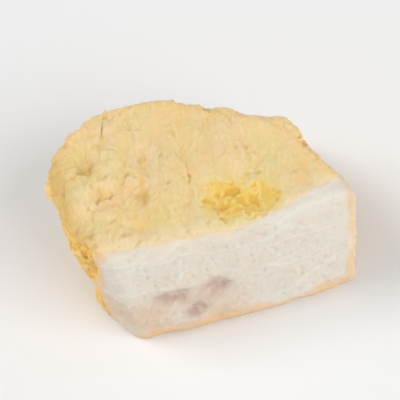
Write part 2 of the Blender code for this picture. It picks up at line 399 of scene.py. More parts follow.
class OrangeShape(bpy.types.PropertyGroup):
    """Sizes of the piece's relief."""

    net: FloatProperty(
        name="Net", description="Side of the small faces that the surface is made of",
        default=0.000105, min=0.0001, max=0.001, unit="LENGTH", precision=6,
    )
    pith_depth: FloatProperty(
        name="Pith depth", description="How thick the white pith is in the middle of its length",
        default=0.0005, min=0.0, max=0.004, unit="LENGTH", precision=5,
    )
    pith_bulge: FloatProperty(
        name="Pith bulge", description="How far the pith's face stands forward of its edges",
        default=0.00065, min=0.0, max=0.003, unit="LENGTH", precision=5,
    )
    sac_width: FloatProperty(
        name="Sac width", description="How wide a juice sac is",
        default=0.0027, min=0.001, max=0.006, unit="LENGTH", precision=5,
    )
    sac_length: FloatProperty(
        name="Sac length", description="How long a juice sac is, from pith to core",
        default=0.0085, min=0.002, max=0.02, unit="LENGTH", precision=5,
    )
    sac_swell: FloatProperty(
        name="Sac swell", description="How far the sacs swell under the membrane",
        default=0.00026, min=0.0, max=0.001, unit="LENGTH", precision=5,
    )
    pocket_depth: FloatProperty(
        name="Pocket depth", description="How deep the cut sacs have sunk between their walls",
        default=0.00075, min=0.0, max=0.002, unit="LENGTH", precision=5,
    )
    knob_height: FloatProperty(
        name="Knob height", description="How far the torn sac ends stand out at the left end",
        default=0.00095, min=0.0, max=0.002, unit="LENGTH", precision=5,
    )
    crag_height: FloatProperty(
        name="Crag height", description="Height of the broad crags",
        default=0.00034, min=0.0, max=0.002, unit="LENGTH", precision=5,
    )
    lump_height: FloatProperty(
        name="Lump height", description="Height of the small lumps",
        default=0.00015, min=0.0, max=0.001, unit="LENGTH", precision=5,
    )
    pore: FloatProperty(
        name="Pore", description="Spacing of the large pores in the open flesh",
        default=0.00095, min=0.0002, max=0.002, unit="LENGTH", precision=5,
    )
    pore_depth: FloatProperty(
        name="Pore depth", description="Depth of the large pores in the open flesh",
        default=0.00038, min=0.0, max=0.001, unit="LENGTH", precision=5,
    )
    crinkle: FloatProperty(
        name="Crinkle", description="Height of the membrane's fine crinkles",
        default=0.00008, min=0.0, max=0.0005, unit="LENGTH", precision=5,
    )
    skin_step: FloatProperty(
        name="Skin step", description="How far the torn membrane stands above the flesh that it covers",
        default=0.00010, min=0.0, max=0.0005, unit="LENGTH", precision=5,
    )
    crumble: FloatProperty(
        name="Crumble", description="How much has crumbled off the piece's edges",
        default=0.00022, min=0.0, max=0.001, unit="LENGTH", precision=5,
    )


class OrangeColours(bpy.types.PropertyGroup):
    """Colours of the piece."""

    gold: FloatVectorProperty(
        name="Gold", description="Flesh where it lies open", subtype="COLOR",
        default=(0.86, 0.50, 0.085), min=0.0, max=1.0,
    )
    # Painted shade: the darker gold put in pores, pockets and broad dips
    hollow_shade_gold: FloatVectorProperty(
        name="Deep gold", description="Flesh in pores and pockets", subtype="COLOR",
        default=(0.72, 0.30, 0.015), min=0.0, max=1.0,
    )
    yolk: FloatVectorProperty(
        name="Yolk", description="Flesh in the patch without membrane", subtype="COLOR",
        default=(0.80, 0.63, 0.165), min=0.0, max=1.0,
    )
    # Also painted light: the paler colour on the open flesh's fine bumps
    foam: FloatVectorProperty(
        name="Foam", description="Dry sac walls and edges", subtype="COLOR",
        default=(0.91, 0.69, 0.29), min=0.0, max=1.0,
    )
    cream: FloatVectorProperty(
        name="Cream", description="Membrane over the flesh", subtype="COLOR",
        default=(0.795, 0.645, 0.30), min=0.0, max=1.0,
    )
    peach: FloatVectorProperty(
        name="Peach", description="Warmer patches of the membrane", subtype="COLOR",
        default=(0.84, 0.605, 0.30), min=0.0, max=1.0,
    )
    # Also painted shade: put on the membrane's left limb, in its two shaded pits and partly in its pores
    pit: FloatVectorProperty(
        name="Pit", description="Small pits in the membrane", subtype="COLOR",
        default=(0.62, 0.37, 0.08), min=0.0, max=1.0,
    )
    # Also painted light: the paler colour on the membrane's fine bumps
    paper: FloatVectorProperty(
        name="Paper", description="Membrane where it stands clear of the flesh", subtype="COLOR",
        default=(0.82, 0.68, 0.43), min=0.0, max=1.0,
    )
    rim: FloatVectorProperty(
        name="Rim", description="Warm rim of the membrane, where light comes through", subtype="COLOR",
        default=(0.94, 0.63, 0.25), min=0.0, max=1.0,
    )
    pith: FloatVectorProperty(
        name="Pith", description="White pith", subtype="COLOR",
        default=(0.74, 0.69, 0.60), min=0.0, max=1.0,
    )
    strand: FloatVectorProperty(
        name="Strand", description="White strands on the pith", subtype="COLOR",
        default=(0.81, 0.77, 0.70), min=0.0, max=1.0,
    )
    blush: FloatVectorProperty(
        name="Blush", description="Warm tint of the pith's patches", subtype="COLOR",
        default=(0.70, 0.535, 0.395), min=0.0, max=1.0,
    )
    # Partly painted: orange reflection along the pith's low and side edges, besides the flesh's colour at its
    # border
    hem_and_reflection: FloatVectorProperty(
        name="Hem", description="Peach tint along the pith's lower and side edges", subtype="COLOR",
        default=(0.82, 0.53, 0.27), min=0.0, max=1.0,
    )
    stain: FloatVectorProperty(
        name="Stain", description="Pinkish tint in the pith's three dents", subtype="COLOR",
        default=(0.50, 0.35, 0.305), min=0.0, max=1.0,
    )


class OrangeStudio(bpy.types.PropertyGroup):
    """Floor, light and camera."""

    floor: FloatVectorProperty(
        name="Floor", description="Colour of the floor", subtype="COLOR",
        default=(0.86, 0.86, 0.86), min=0.0, max=1.0,
    )
    key_power: FloatProperty(
        name="Key light", description="Power of the large soft light",
        default=8.0, min=0.0, unit="POWER",
    )
    fill_power: FloatProperty(
        name="Fill light", description="Power of the soft light opposite",
        default=12.8, min=0.0, unit="POWER",
    )
    sky: FloatProperty(
        name="Sky", description="Strength of the even light from all round", default=0.38, min=0.0, max=4.0,
    )
    elevation: FloatProperty(
        name="Elevation", description="How far above level the camera looks down from",
        default=math.radians(53), subtype="ANGLE",
    )
    roll: FloatProperty(
        name="Roll", description="How far the piece lies turned in the picture",
        default=math.radians(15), subtype="ANGLE",
    )
    lens: FloatProperty(
        name="Lens", description="Focal length", default=200.0, min=20.0, max=400.0, unit="CAMERA",
    )
    filling: FloatProperty(
        name="Filling", description="Share of the picture that the piece's length takes",
        default=0.72, min=0.1, max=1.0, subtype="FACTOR",
    )


def facing(azimuth, lean):
    """The unit vector that points azimuth degrees round from +X and lean degrees up from level."""
    turn, rise = math.radians(azimuth), math.radians(lean)
    level = math.cos(rise)
    return Vector((math.cos(turn) * level, math.sin(turn) * level, math.sin(rise)))


def ramp(low, high, value):
    """0 up to low, 1 from high, and a smooth rise between them."""
    share = min(max((value - low) / (high - low), 0.0), 1.0)
    return share * share * (3.0 - 2.0 * share)


def wall_gap(place, middles):
    """How far a place is from the nearest wall of its cell, given the middles of the cells around it."""
    own = middles[0]
    return min(((own + other) / 2.0 - place).dot((other - own).normalized()) for other in middles[1:])


def depth_in_cut(point, name):
    """How far a point of the block lies inside one of its cut faces."""
    at, azimuth, lean = CUTS[name]
    return (Vector(at) - point).dot(facing(azimuth, lean))


def shared_reach(reaches):
    """How far off a group of hollows is, in half-sizes, where those that are near each other join."""
    return sum(1.0 / max(reach, LEAST_REACH) ** 2 for reach in reaches) ** -0.5


def number_of(middle):
    """A number from 0 to 1 that belongs to the cell with this middle."""
    return 0.5 + 0.5 * noise.cell(middle * SAC_SCATTER)


def millimetres(settings):
    """The sizes of a property group by name, in millimetres."""
    return {name: getattr(settings, name) / METRE for name in settings.__annotations__}


class Flesh:
    """The form of the piece: every rule that says where its surface lies and what lies there."""

    def __init__(self, sizes):
        self.size = sizes

    def sac(self, point):
        """The juice sac at a point: how far inside it is, its wall's distance, and the sac's own number."""
        width = self.size["sac_width"] * (1.0 - (point.y - FRONT) / SAC_FAN)
        length = self.size["sac_length"]
        place = Vector((point.x / width, point.y / length, (point.z - 0.5 * HEIGHT) / width))
        distances, middles = noise.voronoi(place)
        inside = ramp(0.0, SAC_WALL, distances[1] - distances[0])
        return inside, width * wall_gap(place, middles), number_of(middles[0])

    def beyond_pith(self, point):
        """How far behind the pith a point lies, below 0 in the pith itself."""
        along = abs(point.x / HALF_LENGTH)
        left = PITH_FLARE_LEFT * along ** PITH_POWER_LEFT
        right = PITH_FLARE_RIGHT * along ** PITH_POWER_RIGHT
        thick = self.size["pith_depth"] + (left if point.x < 0.0 else right)
        thick += PITH_UNEVEN * noise.noise(point / PITH_PATCH)
        thick += PITH_FOOT * ramp(*PITH_FOOT_HEIGHT, point.z) * ramp(*PITH_FOOT_ALONG, point.x)
        dip = 1.0 - ramp(PITH_DIP_FULL, 1.0, abs(point.x - PITH_DIP_AT) / PITH_DIP_REACH)
        thick -= PITH_DIP * dip * ramp(*PITH_DIP_HEIGHT, point.z)
        return point.y - FRONT - thick

    def bulge(self, point):
        """How far the pith's face stands forward of its edges, for a point of the block."""
        along = 1.0 - min(abs(point.x / HALF_LENGTH), 1.0) ** BULGE_POWER_ALONG
        upright = 1.0 - min(abs(2.0 * point.z / HEIGHT - 1.0), 1.0) ** BULGE_POWER_UP
        height = self.size["pith_bulge"] * along * (BULGE_AT_EDGES + (1.0 - BULGE_AT_EDGES) * upright)
        return height * (1.0 - ramp(0.0, BULGE_REACH, point.y - FRONT))

    def hollow(self, point):
        """The depth of the hollows at a point, and its reach from the patch, the pits and the dents."""
        depth = 0.0
        reaches = []
        for middle, half, deep in HOLLOWS:
            apart = Vector([(a - b) / h for a, b, h in zip(point, middle, half)])
            reach = apart.length + HOLLOW_UNEVEN * noise.noise(point)
            depth += deep * (1.0 - ramp(HOLLOW_FLOOR, HOLLOW_RIM, reach))
            reaches.append(reach)
        groups = (PATCH_HOLLOWS, PIT_HOLLOWS, DENT_HOLLOWS)
        return depth, [shared_reach(reaches[group]) for group in groups]

    def tints(self, point, normal, beyond):
        """The shares of the tints that have a place of their own on the piece, with painted shade on the
        membrane's left limb, painted reflection in part of the pith's hem and painted light in the membrane's
        rim.
        """
        by_flesh = max(HEM_LEAST * ramp(*HEM_FADE, point.x), ramp(*HEM_FACING, -normal.x))
        by_right = 1.0 - RIGHT_HEM_LOSS * ramp(*RIGHT_HEM_FACING, normal.x)
        from_right, from_below = depth_in_cut(point, "right end"), depth_in_cut(point, "underside membrane")
        uneven = HEM_UNEVEN * noise.noise(point / HEM_PATCH)
        # Partly painted orange reflection along the pith's low and side edges
        hem_and_reflection = max(
            by_flesh * (1.0 - ramp(0.0, FLESH_HEM, -beyond)),
            by_right * (1.0 - ramp(0.0, RIGHT_HEM, from_right + RIGHT_HEM_UNEVEN * uneven)),
            1.0 - ramp(0.0, LOW_HEM, from_below + uneven),
        )
        rim = 1.0 - ramp(0.0, RIM, min(depth_in_cut(point, name) for name in RIM_CUTS))
        # Painted shade on the membrane's left limb
        limb_shade = 1.0 - ramp(0.0, LIMB_SHADE, min(depth_in_cut(point, name) for name in LIMB_SHADE_CUTS))
        limb_shade *= ramp(*LIMB_SHADE_ALONG, point.x)
        return {
            "hem_and_reflection": hem_and_reflection,
            "rim": rim,
            "limb_shade": limb_shade,
            "blush": ramp(*BLUSH_HEIGHT, point.z) * ramp(*BLUSH_ALONG, point.x),
            "glow": 1.0 - ramp(GLOW_FULL, 1.0, (point - GLOW_AT).length / GLOW_RADIUS),
            "shoulder": ramp(*SHOULDER_LEVEL, normal.z) * ramp(*SHOULDER_RIGHT, normal.x),
            "margin": 1.0 - ramp(0.0, MARGIN, beyond),
        }

    def golden(self, point, patch):
        """How far the membrane is missing at a point, given its reach from the patch."""
        share = 1.0 - ramp(*PATCH_BORDER, patch + PATCH_RAGGED * noise.noise(point / PATCH_RAG_SPACING))
        corner = CORNER_SLANT * (point.x - CORNER_AT[0]) - (point.y - CORNER_AT[1])
        return share * (1.0 - CORNER_COVER * ramp(*CORNER_FADE, corner))

    def relief(self, point, normal):
        """How far the surface stands out from the rounded block, and what lies at that point."""
        size = self.size
        beyond = self.beyond_pith(point)
        pith = 1.0 - ramp(-PITH_BORDER, PITH_BORDER, beyond)
        membrane = ramp(MEMBRANE_FROM, MEMBRANE_WHOLE, abs(normal.z))
        open_flesh = 1.0 - membrane
        torn = open_flesh * ramp(TORN_FROM, TORN_WHOLE, -normal.x)
        inside, gap, own = self.sac(point)
        swell = size["sac_swell"] * membrane * (inside - SWELL_BELOW)
        pockets = size["pocket_depth"] * (open_flesh - torn) * (1.0 - POCKET_BELOW - inside)
        steps = SAC_STEP * open_flesh * inside * (0.5 - own)
        nearest = noise.voronoi(point / KNOB_SPACING)[0][0]
        knobs = size["knob_height"] * torn * (1.0 - KNOB_BELOW - ramp(0.0, KNOB_FOOT, nearest))
        lumps = size["lump_height"] * noise.noise(point / LUMP_SPACING + LUMP_SHIFT)
        crags = size["crag_height"] * noise.noise(point / CRAG_SPACING)
        on_flesh = swell + pockets + steps + knobs + lumps
        on_flesh += crags * (SKIN_CRAGS * membrane + FLESH_CRAGS * open_flesh)
        on_pith = PITH_LUMPS * lumps + PITH_CRAGS * crags
        hollow, (patch, pit, dent) = self.hollow(point)
        out = (1.0 - pith) * on_flesh + pith * on_pith - hollow
        return out, {
            "pith": pith, "membrane": membrane, "torn": torn, "inside": inside, "gap": gap, "own": own,
            "golden": self.golden(point, patch),
            "halo": 1.0 - ramp(*HALO_FADE, patch),
            "shade": 1.0 - ramp(*SHADE_FADE, pit),
            "stain": pith * (1.0 - ramp(*STAIN_FADE, dent)),
            **self.tints(point, normal, beyond),
        }


def rounding_share(edge):
    """The share of the full rounding that an edge of the block has."""
    if not any(face.normal.y < PITH_FACING for face in edge.link_faces):
        return 1.0
    upper = all(vertex.co.z > 0.5 * HEIGHT for vertex in edge.verts)
    return UPPER_PITH_EDGE if upper else OTHER_PITH_EDGES


def cut_block():
    """A block of stock trimmed by each cut in turn, with its edges weighted for the bevel."""
    bm = bmesh.new()
    bmesh.ops.create_cube(bm, size=STOCK)
    for at, azimuth, lean in CUTS.values():
        everything = bm.verts[:] + bm.edges[:] + bm.faces[:]
        bmesh.ops.bisect_plane(
            bm, geom=everything, plane_co=at, plane_no=facing(azimuth, lean), clear_outer=True
        )
        bmesh.ops.holes_fill(bm, edges=bm.edges[:])
    weight = bm.edges.layers.float.new("bevel_weight_edge")
    for edge in bm.edges:
        edge[weight] = rounding_share(edge)
    return bm


def evaluated_mesh(thing):
    bpy.context.view_layer.update()
    graph = bpy.context.evaluated_depsgraph_get()
    return bpy.data.meshes.new_from_object(thing.evaluated_get(graph), depsgraph=graph)


def rounded_block(name, net):
    """The cut block as an object, bevelled and rebuilt as an even net of small faces."""
    mesh = bpy.data.meshes.new(name)
    bm = cut_block()
    bm.to_mesh(mesh)
    bm.free()
    piece = bpy.data.objects.new(name, mesh)
    bpy.context.scene.collection.objects.link(piece)
    bevel = piece.modifiers.new("rounded edges", "BEVEL")
    bevel.limit_method = "WEIGHT"
    bevel.width = ROUNDING
    bevel.segments = ROUNDING_STEPS
    remesh = piece.modifiers.new("even net", "REMESH")
    remesh.mode = "VOXEL"
    remesh.voxel_size = net
    piece.data = evaluated_mesh(piece)
    piece.modifiers.clear()
    return piece


def pressed(point):
    """The same point once the underside is worn flat where the piece rests."""
    middle = 1.0 - ramp(REST_FLAT, REST_FADE, Vector((point.x, point.y)).length)
    low = point.z - REST_SINK
    if low < REST_BAND:
        low -= REST_BAND * middle
    return Vector((point.x, point.y, max(low, 0.0)))


def places_of(mesh):
    found = np.empty(len(mesh.vertices) * 3, np.float32)
    mesh.vertices.foreach_get("co", found)
    return found.reshape(-1, 3).astype(float)


def normals_of(mesh):
    found = np.empty(len(mesh.vertices) * 3, np.float32)
    mesh.vertices.foreach_get("normal", found)
    return found.reshape(-1, 3).astype(float)


def put_places(mesh, places):
    mesh.vertices.foreach_set("co", places.astype(np.float32).ravel())
    mesh.update()


def smoothed(mesh, values, passes):
    """Values at the points of the mesh, each averaged with its neighbours, as often as passes says."""
    ends = np.empty(len(mesh.edges) * 2, np.int32)
    mesh.edges.foreach_get("vertices", ends)
    one, other = ends.reshape(-1, 2).T
    count = np.bincount(np.concatenate([one, other]), minlength=len(values)).reshape(-1, 1)
    for _ in range(passes):
        total = np.zeros_like(values)
        for axis in range(values.shape[1]):
            total[:, axis] += np.bincount(one, weights=values[other, axis], minlength=len(values))
            total[:, axis] += np.bincount(other, weights=values[one, axis], minlength=len(values))
        values = 0.5 * values + 0.5 * total / count
    return values


def write_attribute(mesh, name, values):
    layer = mesh.attributes.new(name, "FLOAT", "POINT")
    layer.data.foreach_set("value", np.asarray(values, np.float32))


def carve(piece, flesh):
    """Moves each point of the rounded block to the coarse surface, and returns what lies there by name."""
    mesh = piece.data
    facts = []
    moved = []
    for vertex in mesh.vertices:
        place = vertex.co.copy()
        out, here = flesh.relief(place, vertex.normal)
        carved = place + vertex.normal * out
        carved.y -= flesh.bulge(place)
        moved.append(carved)
        facts.append(here)
    put_places(mesh, np.array([tuple(place) for place in moved]))
    return {name: np.array([here[name] for here in facts]) for name in facts[0]}


def bubble(point, spacing):
    """A net of open bubbles: 0 on the thin rims between them, up to 1 in the middle of the deepest."""
    place = point / spacing
    middles = noise.voronoi(place)[1]
    depth = BUBBLE_LEAST + (1.0 - BUBBLE_LEAST) * number_of(middles[0])
    return ramp(*BUBBLE_WALL, wall_gap(place, middles)) * depth


def bent(place, amount, spacing):
    """The same place, moved by up to about amount in bends that are spacing long."""
    return place + amount * noise.noise_vector(place / spacing)


def crest(place, sharpness):
    """Crests along the middle of a noise: 0 between them, up to 1 on a crest."""
    return 1.0 - min(abs(noise.noise(place)) * sharpness, 1.0)


def shrunk(place, spread):
    """The place divided by a length along each axis, so that a noise there is spread that far."""
    return Vector([along / length for along, length in zip(place, spread)])


def patches(place, level, spacing, shift, fewer):
    """Soft patches, 1 inside and 0 outside, that become fewer to the right."""
    return ramp(*level, noise.noise(place / spacing + shift) - fewer * place.x)


def ragged_pit(point, spacing, level):
    """Small uneven pits, fewer the higher the level: 1 inside, 0 outside."""
    place = point / spacing + PIT_BEND * noise.noise_vector(point / (PIT_BEND_SPACING * spacing))
    return ramp(level, level + PIT_SOFTNESS, noise.noise(place))


def crinkle(place, across, along):
    """Sharp-crested folds that run from the pith to the core, from 0 between them to 1 on a crest."""
    return crest(shrunk(bent(place, *CRINKLE_BEND), (across, along, across)), CRINKLE_SHARPNESS)


def strand(place):
    """White strands that run along the pith and branch, from 0 between them to 1 on a strand."""
    return crest(shrunk(bent(place, *STRAND_BEND), STRAND_SPACING), STRAND_SHARPNESS)


def felt(place, strands):
    """The relief of the pith: matted fibres with small voids between them, swells and strands."""
    fibres = crest(bent(place, *FIBRE_BEND) / FIBRE_SPACING, FIBRE_SHARPNESS)
    voids = ramp(*VOID_LEVEL, noise.noise(place / VOID_SPACING + VOID_SHIFT))
    swells = noise.noise(place / FELT_SWELL_SPACING)
    return FIBRE_HEIGHT * fibres + FELT_SWELL * swells + STRAND_HEIGHT * strands - VOID_DEPTH * voids


def thin_wall(gap):
    """1 in the middle of a sac's thin wall, 0 beyond it, for a distance from that middle."""
    return 1.0 - ramp(*THIN_WALL, gap)


def skin_share(place, here):
    """How far the membrane covers the flesh at a point, with its torn edge."""
    ragged = sum(height * noise.noise(place / spacing) for height, spacing in SKIN_RAGS)
    soft = SKIN_SOFTNESS + HALO_SOFTNESS * here["halo"]
    covered = max(here["membrane"], here["shoulder"]) - here["golden"] + ragged
    return ramp(0.5 - soft, 0.5 + soft, covered) * (1.0 - here["pith"])


def sponge(place, edge, here, sizes):
    """The relief of the open flesh at a point, and how deep in a pore the point is."""
    large, fine = bubble(place, sizes["pore"]), bubble(place, FINE_SPACING * sizes["pore"])
    wall, floor = thin_wall(here["gap"]), ramp(*SAC_FLOOR, here["gap"])
    by_wall = PORE_BY_WALL + (1.0 - PORE_BY_WALL) * floor
    out = sizes["pore_depth"] * (CREST_HEIGHT - LARGE_PORE * large * by_wall - FINE_PORE * fine)
    out += SAC_STEP * here["membrane"] * (0.5 - here["own"]) * floor + WALL_HEIGHT * wall
    mouth = here["inside"] - ramp(*POCKET_MOUTH, here["gap"])
    cut = (1.0 - here["torn"]) * (1.0 - here["membrane"])
    out += POCKET_SHARE * sizes["pocket_depth"] * cut * min(mouth, 0.0)
    out -= WALL_BREAK * wall * cut * patches(place, **BROKEN_WALLS)
    out *= 1.0 - EDGE_CALM * ramp(*CALM_EDGES, -edge)
    out *= 1.0 - COVERED_CALM * here["membrane"]
    return out, max(large, FINE_PORE_TINT * fine)


def papery(place, here, sizes):
    """The relief of the membrane at a point, and how deep in a pit the point is."""
    large = ragged_pit(place, *LARGE_PITS) * patches(place, **LARGE_PIT_PATCHES)
    small = SMALL_PIT * ragged_pit(place, *SMALL_PITS) * patches(place, **SMALL_PIT_PATCHES)
    pit = max(large, small)
    broad, fine = crinkle(place, *BROAD_CRINKLES), crinkle(place, *FINE_CRINKLES)
    creases = sizes["crinkle"] * (broad + FINE_CRINKLE * fine - CRINKLES_BELOW)
    from_pebble = min(noise.voronoi(place / PEBBLE_SPACING)[0][0], PEBBLE_END)
    pebbles = ramp(*PEBBLES_ALONG, place.x) * (PEBBLE_LEVEL - from_pebble ** 2)
    sag = WALL_SAG * (SAG_LEVEL - thin_wall(here["gap"]))
    ridges = (RIDGE + RIDGE_RIGHT * ramp(*RIDGE_ALONG, place.x)) * (1.0 - here["inside"]) ** 2
    return creases + sag - PIT_DEPTH * pit + PEBBLE_HEIGHT * pebbles + ridges, pit


def crumble_share(place, edge):
    """How far an edge of the piece has crumbled at a point."""
    uneven = CRUMBLE_LEAST + CRUMBLE_UNEVEN * abs(noise.noise(place / CRUMBLE_SPACING))
    return ramp(*CRUMBLE_EDGES, -edge) * uneven


def unfold(mesh, normals):
    """Eases the few places where the relief has folded the surface over itself."""
    for _ in range(UNFOLDINGS):
        turned = (normals_of(mesh) * normals).sum(1)
        folded = smoothed(mesh, (turned < FOLDED_BELOW).astype(float)[:, None], FOLD_SPREAD)
        share = np.clip(FOLD_GAIN * folded, 0.0, 1.0)
        places = places_of(mesh)
        put_places(mesh, places + share * (smoothed(mesh, places, UNFOLD_SMOOTHINGS) - places))


def each_point(facts):
    """What lies at each point of the mesh in turn, by name."""
    for row in zip(*(values.tolist() for values in facts.values())):
        yield dict(zip(facts, row))


def perforate(piece, sizes, facts):
    """Cuts the pores, crinkles and felt that are finer than the solid's relief, and adds them to facts."""
    mesh = piece.data
    places, normals = places_of(mesh), normals_of(mesh)
    edges = ((smoothed(mesh, places, EDGE_SMOOTHINGS) - places) * normals).sum(1)
    outs = []
    found = {"pore": [], "skin": [], "strand": []}
    for spot, edge, here in zip(places, edges, each_point(facts)):
        place = Vector(spot)
        pith, skin = here["pith"], skin_share(place, here)
        flesh = 1.0 - max(skin, pith)
        strands = strand(place)
        foam, pore = sponge(place, edge, here, sizes)
        paper, pit = papery(place, here, sizes)
        step = sizes["skin_step"] * (1.0 - HALO_STEP_LOSS * here["halo"])
        felted = felt(place, strands) - STAIN_SINK * here["stain"]
        out = flesh * foam + skin * (paper + step) + pith * felted
        outs.append(out - sizes["crumble"] * crumble_share(place, edge) - max(-edge - SHARPEST_EDGE, 0.0))
        found["pore"].append(flesh * pore + skin * pit)
        found["skin"].append(skin)
        found["strand"].append(strands)
    put_places(mesh, places + normals * np.array(outs)[:, None])
    unfold(mesh, normals)
    facts.update({name: np.array(values) for name, values in found.items()})
    middle, end = THIN_WALL
    facts["wall"] = 1.0 - np.clip((facts["gap"] - middle) / (end - middle), 0.0, 1.0)
    facts["edge"] = np.clip(-edges / FULL_EDGE, 0.0, 1.0)


def settle(piece, node):
    """Rests the piece on its flat spot and puts it where the frame's node is."""
    mesh = piece.data
    places = np.array([tuple(pressed(Vector(place))) for place in places_of(mesh)])
    low, high = (np.array(corner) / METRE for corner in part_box(node))
    middle = (places.min(0) + places.max(0)) / 2.0
    places[:, 0] += (low[0] + high[0]) / 2.0 - middle[0]
    places[:, 1] += (low[1] + high[1]) / 2.0 - middle[1]
    put_places(mesh, places)


def note_facts(piece, facts):
    """Writes what lies at each point to the mesh, for the material to read."""
    mesh = piece.data
    places, normals = places_of(mesh), normals_of(mesh)
    for name, (passes, full) in BUMPS.items():
        apart = ((smoothed(mesh, places, passes) - places) * normals).sum(1)
        facts[name] = np.clip(0.5 + 0.5 * apart / full, 0.0, 1.0)
    for name in READ_BY_MATERIAL:
        write_attribute(mesh, name, facts[name])


class Graph:
    """A material's node tree, with short ways to add the nodes that this file uses."""

    def __init__(self, name):
        self.material = bpy.data.materials.new(name)
        self.material.use_nodes = True
        self.tree = self.material.node_tree
        self.shader = self.tree.nodes["Principled BSDF"]
        where = self.tree.nodes.new("ShaderNodeTexCoord")
        self.place = self.node("ShaderNodeVectorMath", operation="SCALE")
        self.tree.links.new(where.outputs["Object"], self.place.inputs[0])
        self.place.inputs["Scale"].default_value = 1.0 / METRE

    def node(self, kind, **values):
        made = self.tree.nodes.new(kind)
        for name, value in values.items():
            setattr(made, name, value)
        return made

    def feed(self, socket, value):
        """Links an output or a value that the mesh holds by name, or sets the socket to a plain value."""
        if isinstance(value, str):
            value = self.node("ShaderNodeAttribute", attribute_name=value).outputs["Fac"]
        if isinstance(value, bpy.types.NodeSocket):
            self.tree.links.new(value, socket)
        elif hasattr(value, "__len__"):
            socket.default_value = (*value, 1.0)[:4]
        else:
            socket.default_value = value

    def grain(self, spacing, detail=2.0, stretch=(1.0, 1.0, 1.0)):
        """Soft noise whose spots are about spacing millimetres across."""
        made = self.node("ShaderNodeTexNoise")
        place = self.node("ShaderNodeVectorMath", operation="MULTIPLY")
        self.tree.links.new(self.place.outputs[0], place.inputs[0])
        place.inputs[1].default_value = tuple(share / spacing for share in stretch)
        self.tree.links.new(place.outputs[0], made.inputs["Vector"])
        made.inputs["Scale"].default_value = 1.0
        made.inputs["Detail"].default_value = detail
        return made.outputs["Fac"]

    def span(self, value, low=0.0, high=1.0, least=0.0, most=1.0):
        """Spreads value from low..high to least..most, and holds it there."""
        made = self.node("ShaderNodeMapRange", interpolation_type="SMOOTHSTEP")
        for name, number in (
            ("Value", value), ("From Min", low), ("From Max", high), ("To Min", least), ("To Max", most)
        ):
            self.feed(made.inputs[name], number)
        return made.outputs["Result"]

    def maths(self, operation, one, other):
        made = self.node("ShaderNodeMath", operation=operation)
        self.feed(made.inputs[0], one)
        self.feed(made.inputs[1], other)
        return made.outputs[0]

    def mix(self, share, one, other, blend="MIX"):
        """One colour, turning to the other as share goes from 0 to 1."""
        made = self.node("ShaderNodeMix", data_type="RGBA", blend_type=blend)
        self.feed(made.inputs["Factor"], share)
        self.feed(made.inputs[6], one)
        self.feed(made.inputs[7], other)
        return made.outputs[2]

    def coat(self, base, *coats):
        """A colour under further ones, each given as its share and the colour."""
        for share, colour in coats:
            base = self.mix(share, base, colour)
        return base


def open_flesh_colour(graph, colours):
    """Golden sponge: a deeper gold painted into its pores, pockets and broad dips as their shade, paler
    painted light on its fine bumps, and pale on the sac walls and edges.
    """
    broken = graph.span(graph.grain(0.9), 0.3, 0.6, least=0.35, most=0.9)
    near_pith = graph.maths("MULTIPLY", "golden", "margin")
    return graph.coat(
        colours.gold,
        (graph.span("own", 0.1, 0.9, most=0.35), colours.foam),
        (graph.span(graph.grain(1.6), 0.4, 0.7, most=0.3), colours.foam),
        (graph.maths("MULTIPLY", "wall", broken), colours.foam),
        # Painted light: the fine bumps turn paler
        (graph.span("pit", 0.42, 0.1, most=0.6), colours.foam),
        # Painted shade: broad dips and pores turn a deeper gold
        (graph.span("dip", 0.5, 1.0, most=0.75), colours.hollow_shade_gold),
        (graph.span("pore", 0.2, 0.9, most=0.75), colours.hollow_shade_gold),
        (graph.span("golden", most=0.45), colours.yolk),
        (graph.span(near_pith, most=0.8), colours.foam),
    )


def membrane_colour(graph, colours):
    """Papery cream skin: gold shows through where it is thin, and in its few pores, which also get painted
    shade; painted shade deepens its broad dips, two pits and left limb, and its fine bumps are painted paler.
    """
    thin = graph.grain(2.6, detail=3.0, stretch=(1.0, 0.45, 1.0))
    streaks = graph.grain(0.55, detail=3.0, stretch=(1.0, 0.22, 1.0))
    mottled = graph.span(graph.grain(0.7), 0.35, 0.6, least=0.2, most=0.55)
    return graph.coat(
        colours.cream,
        (graph.span(graph.grain(3.0), 0.34, 0.66), colours.peach),
        (graph.span("glow", most=0.7), colours.peach),
        (graph.span(thin, 0.42, 0.72, most=0.25), colours.gold),
        (graph.span("margin", most=0.75), colours.paper),
        (graph.span("rim", most=0.65), colours.rim),
        (graph.span("halo", most=0.5), colours.yolk),
        (graph.span(streaks, 0.4, 0.75, most=0.45), colours.paper),
        # Painted shade: broad dips turn more golden
        (graph.span("dip", 0.5, 1.0, most=0.4), colours.gold),
        # Painted light: the fine bumps turn paler
        (graph.span("pit", 0.5, 0.15, most=0.6), colours.paper),
        # Painted shade on the membrane's left limb
        (graph.span("limb_shade", most=0.6), colours.pit),
        (graph.maths("MULTIPLY", "shade", mottled), colours.pit),
        # The membrane's pits: gold showing through, with painted shade
        (graph.span("pore", 0.0, 0.9, most=0.45), colours.pit),
    )


def pith_colour(graph, colours):
    """White felt with a blush in patches, a pinkish tint in its three dents and a warm hem, which is partly
    painted orange reflection; its fine hollows get a little painted shade.
    """
    blushing = graph.span(graph.grain(2.2), 0.3, 0.7, least=0.35, most=0.95)
    stained = graph.span(graph.grain(0.8, detail=3.0), 0.36, 0.60, least=0.45, most=1.0)
    return graph.coat(
        colours.pith,
        (graph.span(graph.grain(1.6, detail=3.0), 0.42, 0.78, most=0.25), colours.blush),
        (graph.span("strand", 0.4, 1.0, most=0.5), colours.strand),
        (graph.maths("MULTIPLY", "blush", blushing), colours.blush),
        (graph.maths("MULTIPLY", "stain", stained), colours.stain),
        # Partly painted orange reflection along the pith's low and side edges
        (graph.span("hem_and_reflection", most=0.8), colours.hem_and_reflection),
        # Painted shade: the felt's fine hollows a little warmer and darker
        (graph.span("pit", 0.55, 0.9, most=0.25), colours.blush),
    )


